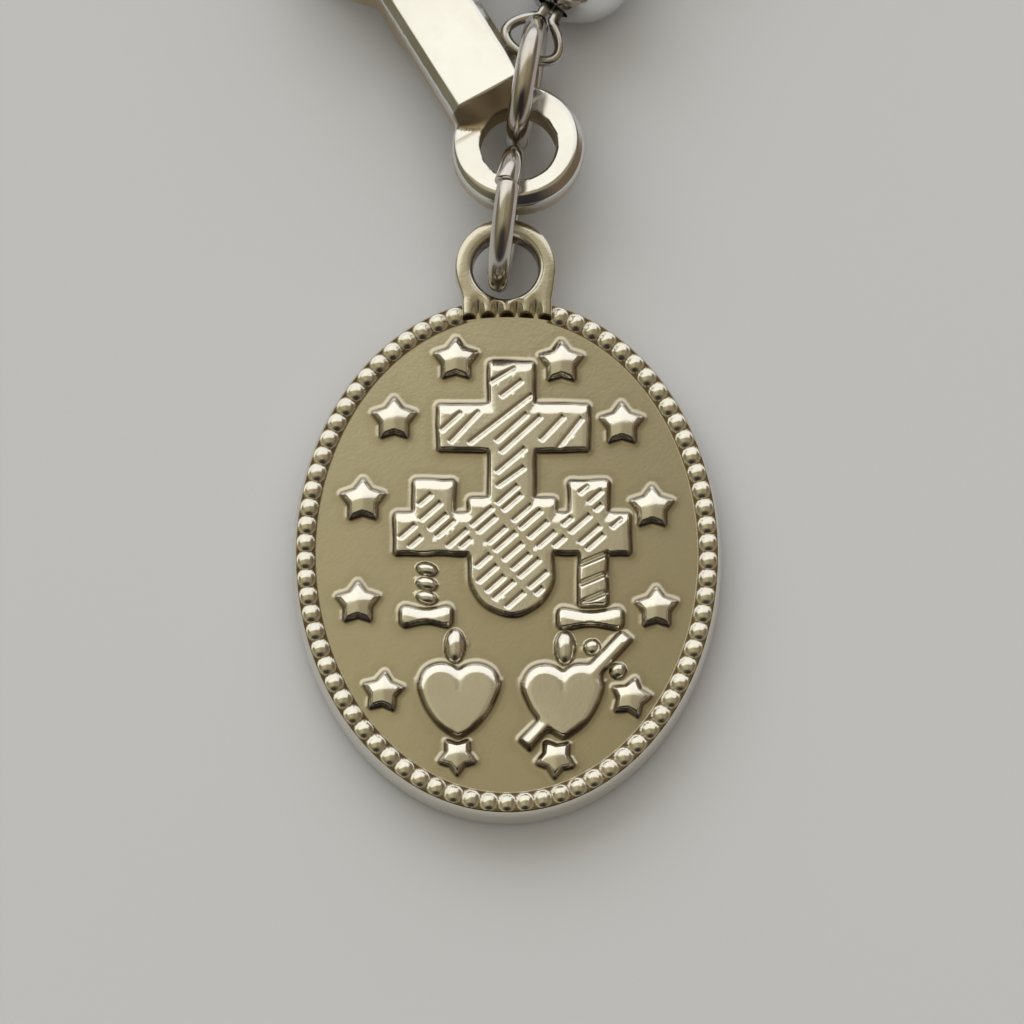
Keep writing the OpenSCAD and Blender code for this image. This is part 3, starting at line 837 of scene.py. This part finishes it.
def relief_height(x, y):
    """Height of all raised forms over the field."""
    height = cast_form(altar_outline, x, y) - groove_depth(x, y, CROSS_GROOVES + tuple(hatch_grooves()))
    height = height - groove_depth(x, y, LEG_GROOVES, LEG_GROOVE_DEPTH) * (altar_outline(x, y) < 0)
    height = np.maximum(height, left_leg(x, y))
    height = np.maximum(height, cast_form(feet_outline, x, y))
    for place in STARS:
        height = np.maximum(height, star_height(x, y, place))
    height = np.maximum(height, cast_form(hearts_outline, x, y, 0.34, 0.40, 0.14))
    for middles, size in ((FLAMES, FLAME_SIZE), (KNOBS, KNOB_SIZE)):
        for middle in middles:
            height = np.maximum(height, dome_height(x, y, middle, size))
    return height


def relief_halo(x, y):
    """Nearness of the relief, where the field gets painted shade: 1 at its foot and 0 from half a
    millimetre on.
    """
    nearest = np.minimum(np.minimum(altar_outline(x, y), feet_outline(x, y)), hearts_outline(x, y))
    for place in STARS:
        nearest = np.minimum(nearest, star_outline(x, y, place))
    return np.clip(1 - np.clip(nearest, 0, 1) / 0.5, 0, 1) * (nearest > 0)


def field_low(x, y, height, polish):
    """Darker in the coves, painted shade round the relief and on the hearts' lower edges, and painted shade
    that grows to the right.
    """
    in_cove = np.clip(1 - np.abs(height - 0.05) / 0.05, 0, 1)
    # Painted shade: the field grows darker towards its right
    drift = 0.22 * ease(x, -6.5, 6.5) * (1 - polish)
    low = np.maximum(in_cove, drift + 0.2 * relief_halo(x, y))
    return np.maximum(low, heart_shade(x, y))


def field_mesh(pitch=0.042, block=4):
    """The field as square cells: small ones where it slopes and large ones where it is flat."""
    reach_x, reach_y = HALF_W - FIELD_INSET, HALF_H - FIELD_INSET
    size = pitch * block
    blocks_x, blocks_y = math.ceil(2 * reach_x / size), math.ceil(2 * reach_y / size)
    xs = (np.arange(blocks_x * block + 1) - blocks_x * block / 2) * pitch
    ys = (np.arange(blocks_y * block + 1) - blocks_y * block / 2) * pitch + OVAL_Y
    x, y = np.meshgrid(xs, ys, indexing="ij")
    height = relief_height(x, y)
    inside = (x / reach_x) ** 2 + ((y - OVAL_Y) / reach_y) ** 2 < 1
    index = np.arange(x.size).reshape(x.shape)
    quads = []
    for i in range(blocks_x):
        for j in range(blocks_y):
            window = (slice(i * block, (i + 1) * block + 1), slice(j * block, (j + 1) * block + 1))
            if not inside[window].all():
                continue
            cells = index[window]
            if np.ptp(height[window]) < 1e-5:
                cells = cells[::block, ::block]
            quads.append(cell_quads(cells))
    used, quads = np.unique(np.concatenate(quads), return_inverse=True)
    x, y, height = x.ravel()[used], y.ravel()[used], height.ravel()[used]
    polish = np.clip(height / 0.12, 0, 1)
    points = np.stack([x, y, FIELD_Z + height], 1)
    return points, quads.reshape(-1, 4), polish, field_low(x, y, height, polish)


def rim_turn(i):
    """Angle of the i-th bead on the rim, so that the beads are evenly spaced along it."""
    level = math.pi / 2 + 2 * math.pi * np.asarray(i) / RIM_BEADS
    return level - 0.06 * np.sin(2 * level)


def rim_mesh(steps=10):
    """Back, edge and beaded rim, as rings of points from the back's middle over the edge to the field."""
    place = np.arange(RIM_BEADS * steps) / steps
    turn, phase = rim_turn(place), (place + 0.5) % 1 - 0.5
    rim = np.stack([HALF_W * np.cos(turn), HALF_H * np.sin(turn)], 1)
    inward = -np.stack([HALF_H * np.cos(turn), HALF_W * np.sin(turn)], 1)
    inward /= np.linalg.norm(inward, axis=1)[:, None]
    under_neck = np.clip((1.60 - np.abs(rim[:, 0])) / 0.1, 0, 1) * (rim[:, 1] > 0)
    rows, polish, low = [], [], []

    def add_ring(plan, z, shine, grime_and_shade):
        """One more ring of points, with its painted values."""
        rows.append(np.column_stack([plan, np.broadcast_to(z, len(rim))]))
        polish.append(np.broadcast_to(shine, len(rim)))
        low.append(np.broadcast_to(grime_and_shade, len(rim)))

    for share in (0.0005, 0.5, 0.93):
        add_ring(rim * share, 0.0, 0.6, 0.0)
    for inset, z in EDGE:
        add_ring(rim + inset * inward, z, 1.0, 0.12)
    across = np.abs(phase) * np.hypot(*(np.roll(rim, -steps, 0) - rim).T)
    for inset in np.concatenate([[0.175], np.arange(0.2, 0.86, 0.042), [0.92, 1.02]]):
        slope = RIM_SLOPE * (RIM_W - inset)
        base = FIELD_Z + slope - under_neck * max(slope - 0.03, 0)
        share = (abs(inset - RIM_BEAD_INSET) / RIM_BEAD_HALF[0]) ** 2.3 + (across / RIM_BEAD_HALF[1]) ** 2
        bead = np.where(share < 1, FIELD_Z + RIM_BEAD_H * (1 - share) * (1 - under_neck), 0)
        # Painted shade in the notches between the beads
        between = np.clip((base - bead) / 0.05, 0, 1) * (0.1 < inset < 0.8) * (1 - under_neck)
        add_ring(rim + inset * inward, np.maximum(base, bead), np.where(bead > base, 0.62, 0.5), between)
    rows = np.array(rows) + [0, OVAL_Y, 0]
    quads = grid_quads(len(rows), rows.shape[1], wrap_columns=True)[:, ::-1]
    return rows.reshape(-1, 3), quads, np.concatenate(polish), np.concatenate(low)


# The bail: a ring on a neck with five ribs
BAIL_MID, BAIL_IN, BAIL_OUT, BAIL_BOTTOM, BAIL_TOP = (-0.05, 10.18), 1.12, 1.72, 1.0, 1.9
NECK = (
    (-1.2, 10.17), (-1.66, 9.75), (-1.60, 9.45), (-1.52, 9.05), (-1.53, 8.90), (-1.52, 8.60),
    (-1.50, 8.28), (1.50, 8.28), (1.52, 8.60), (1.53, 8.90), (1.53, 9.05), (1.59, 9.45),
    (1.62, 9.75), (1.2, 10.17),
)
RIB_PITCH, RIB_END, HOLLOW_DEPTH, RIB_DROP = 0.65, 8.64, 0.34, 0.36
BAIL_VOXEL, BAIL_LOW, BAIL_HIGH = 0.05, (-2.3, 7.9, 0.95), (2.3, 11.9, 1.95)


def from_rib(x):
    """Distance from the middle of the nearest of the neck's five ribs."""
    from_mid = np.minimum(np.abs(x), 2 * RIB_PITCH)
    return np.abs(from_mid - RIB_PITCH * np.round(from_mid / RIB_PITCH))


def rib_end(x):
    """How far down the ribs reach: the middle one ends highest."""
    return RIB_END - 0.06 * x * x


def neck_top(x, y):
    """Ribs run down the neck and end in a steep drop. Hollows between them sink slowly to the field."""
    hollow = HOLLOW_DEPTH * ease(9.25 - y, 0, 0.9) * ease(from_rib(x), 0.04, 0.325)
    drop = RIB_DROP * ease(rib_end(x) - y, 0, 0.26)
    return BAIL_TOP - np.maximum(hollow, drop)


def bail_distance(x, y, z):
    """Ring and neck with slanting sides, and with the ribs and hollows on the neck."""
    away = np.hypot(x - BAIL_MID[0], y - BAIL_MID[1])
    outline = join(away - BAIL_OUT, polygon_distance(x, y, NECK), 0.08)
    slant = (z - BAIL_TOP + 0.6 * (outline + 0.15)) * 0.857
    hole_slant = (BAIL_IN - away + z - BAIL_TOP + 0.13) / math.sqrt(2)
    body = common(plate(outline, z, BAIL_BOTTOM, BAIL_TOP, 0.06), slant, 0.05)
    body = common(common(body, BAIL_IN - away, 0.03), hole_slant, 0.06)
    return common(body, 0.5 * (z - neck_top(x, y)), 0.04)


def bail_low(points):
    """Painted shade, most on the hole's wall and between the feet of the ribs, and a little darker all
    over.
    """
    x, y, z = points.T
    away = np.hypot(x - BAIL_MID[0], y - BAIL_MID[1])
    wall = ease(BAIL_IN + 0.1 - away, 0, 0.08) * ease(BAIL_TOP - 0.05 - z, 0, 0.1)
    pit = ease(rib_end(x) - y, 0.02, 0.1) * ease(from_rib(x), 0.26, 0.2) * (np.abs(x) < 1.5)
    return np.maximum(np.maximum(wall, pit), 0.14)


def bail_mesh():
    """The bail, with the same painted values as the other parts of the medal."""
    points, quads, _ = surface_of(bail_distance, BAIL_LOW, BAIL_HIGH, BAIL_VOXEL)
    return points, quads, np.full(len(points), 0.5), bail_low(points)


def cast_metal():
    """The medal's metal: yellowish satin, brighter where it is painted polish and dark with grime and
    painted shade where low.
    """
    material, tree, principled = shader("medal_steel")
    principled.inputs["Metallic"].default_value = 1.0
    polish, low = attribute(tree, "polish"), attribute(tree, "low")
    cloud = noise(tree, 260, 4, 0.6)
    satin = ramp(tree, cloud, 0.35, 0.7, 0.20, 0.27)
    mirror = ramp(tree, noise(tree, 600, 3, 0.6), 0.35, 0.7, 0.12, 0.22)
    tree.links.new(mix_value(tree, polish, satin, mirror), principled.inputs["Roughness"])
    plain = blend(tree, cloud, 0.4, 0.75, (0.655, 0.615, 0.47), (0.55, 0.505, 0.375))
    bright = mix_colour(tree, polish, plain, (0.80, 0.775, 0.70))
    # Where it is painted low the colour turns to that of grime and painted shade
    tree.links.new(mix_colour(tree, low, bright, GRIME_AND_SHADE), principled.inputs["Base Color"])
    dents, grain = noise(tree, 700, 3, 0.5), noise(tree, 9000, 2, 0.6)
    bump(tree, principled, (dents, 0.2, 0.02), (grain, 0.35, 0.009))
    return material


medal_parts = (field_mesh(), rim_mesh(), bail_mesh())
points, quads, polish, low = zip(*medal_parts)
starts = np.cumsum([0] + [len(part) for part in points])
quads = [part + start for part, start in zip(quads, starts)]
points = np.concatenate(points) + [*MEDAL_MID, 0]
medal_mesh = new_mesh("medal_skin", points, np.concatenate(quads))
paint(medal_mesh, "polish", np.concatenate(polish))
paint(medal_mesh, "low", np.concatenate(low))
dress("medal_cast", medal_mesh, cast_metal(), ["medal"])


# Floor, light and camera
# Lengths from here on are in metres
FLOOR_REACH, FLOOR_Z = 3.0, -0.00002
FLOOR_COLOUR = (0.528, 0.536, 0.556)
# The middle of the picture
TARGET = Vector((MEDAL_MID[0] + 0.167, MEDAL_MID[1] + 1.518, 2.0)) * MM
CAMERA_ELEVATION, CAMERA_DISTANCE, CAMERA_LENS = math.radians(75), 0.150, 158.0


def plain_surface(name, colour, rough):
    """A dull material whose colour is faintly uneven."""
    material, tree, principled = shader(name)
    principled.inputs["Roughness"].default_value = rough
    darker = tuple(0.97 * c for c in colour)
    tree.links.new(mix_colour(tree, noise(tree, 40, 2), colour, darker), principled.inputs["Base Color"])
    return material


floor_corners = [(FLOOR_REACH * x, FLOOR_REACH * y, 0) for x, y in ((-1, -1), (1, -1), (1, 1), (-1, 1))]
floor_mesh = bpy.data.meshes.new("floor")
floor_mesh.from_pydata(floor_corners, [], [(0, 1, 2, 3)])
floor_mesh.materials.append(plain_surface("floor_pale", FLOOR_COLOUR, 0.7))
floor = bpy.data.objects.new("floor", floor_mesh)
floor.location.z = FLOOR_Z
bpy.context.scene.collection.objects.link(floor)
floor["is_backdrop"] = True


def area_light(name, azimuth, elevation, distance, width, height, brightness, colour):
    """A soft light. Azimuth 0 is north, which is up in the picture, and 90 is east."""
    a, e = math.radians(azimuth), math.radians(elevation)
    away = Vector((math.sin(a) * math.cos(e), math.cos(a) * math.cos(e), math.sin(e)))
    light = bpy.data.lights.new(name, "AREA")
    light.shape, light.size, light.size_y = "RECTANGLE", width, height
    light.energy, light.color = brightness * math.pi * width * height, colour
    lamp = bpy.data.objects.new(name, light)
    lamp.location = TARGET + away * distance
    lamp.rotation_mode = "QUATERNION"
    lamp.rotation_quaternion = away.to_track_quat("Z", "Y")
    bpy.context.scene.collection.objects.link(lamp)
    return lamp


area_light("window", -10, 37.5, 0.9, 2.1, 1.07, 0.83, (0.98, 0.99, 1.0))
area_light("window_fill", -24, 40, 0.9, 0.8, 0.6, 1.9, (0.95, 0.97, 1.0)).visible_glossy = False
area_light("ceiling_fill", 180, 75, 1.2, 1.6, 1.6, 0.75, (1.0, 0.99, 0.97)).visible_glossy = False

world = bpy.data.worlds.new("room")
bpy.context.scene.world = world
world.use_nodes = True
tree = world.node_tree
place = tree.nodes.new("ShaderNodeTexCoord")
direction = tree.nodes.new("ShaderNodeSeparateXYZ")
tree.links.new(place.outputs["Generated"], direction.inputs["Vector"])
east, north, up = (direction.outputs[axis] for axis in "XYZ")

# The room by direction: its walls, a tan ceiling and a dark patch in the south, where the viewer stands
walls = blend(tree, north, -0.5, 0.5, (0.07, 0.055, 0.045), (0.40, 0.40, 0.41))
walls = blend(tree, east, -0.35, -0.85, walls, (0.19, 0.17, 0.11))
walls = blend(tree, east, 0.35, 0.85, walls, (0.17, 0.12, 0.08))
ceiling = blend(tree, east, -0.09, 0.09, (0.51, 0.455, 0.30), (0.345, 0.30, 0.195))
room = blend(tree, up, 0.35, 0.85, walls, ceiling)
midway = ramp(tree, maths(tree, "ABSOLUTE", east), 0.72, 0.30, 0.0, 1.0)
southern = ramp(tree, north, -0.34, -0.60, 0.0, 1.0)
room = mix_colour(tree, maths(tree, "MULTIPLY", midway, southern), room, (0.035, 0.03, 0.03))
tree.links.new(room, tree.nodes["Background"].inputs["Color"])
tree.nodes["Background"].inputs["Strength"].default_value = 1.0

camera = bpy.data.objects.new("camera", bpy.data.cameras.new("camera"))
camera.data.lens, camera.data.sensor_width = CAMERA_LENS, 36.0
camera.data.clip_start, camera.data.clip_end = 0.01, 10
back = Vector((0, -math.cos(CAMERA_ELEVATION), math.sin(CAMERA_ELEVATION)))
camera.location = TARGET + back * CAMERA_DISTANCE
camera.rotation_mode = "QUATERNION"
camera.rotation_quaternion = back.to_track_quat("Z", "Y")
bpy.context.scene.collection.objects.link(camera)
bpy.context.scene.camera = camera
bpy.context.scene.view_settings.view_transform = "Standard"

low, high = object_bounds()
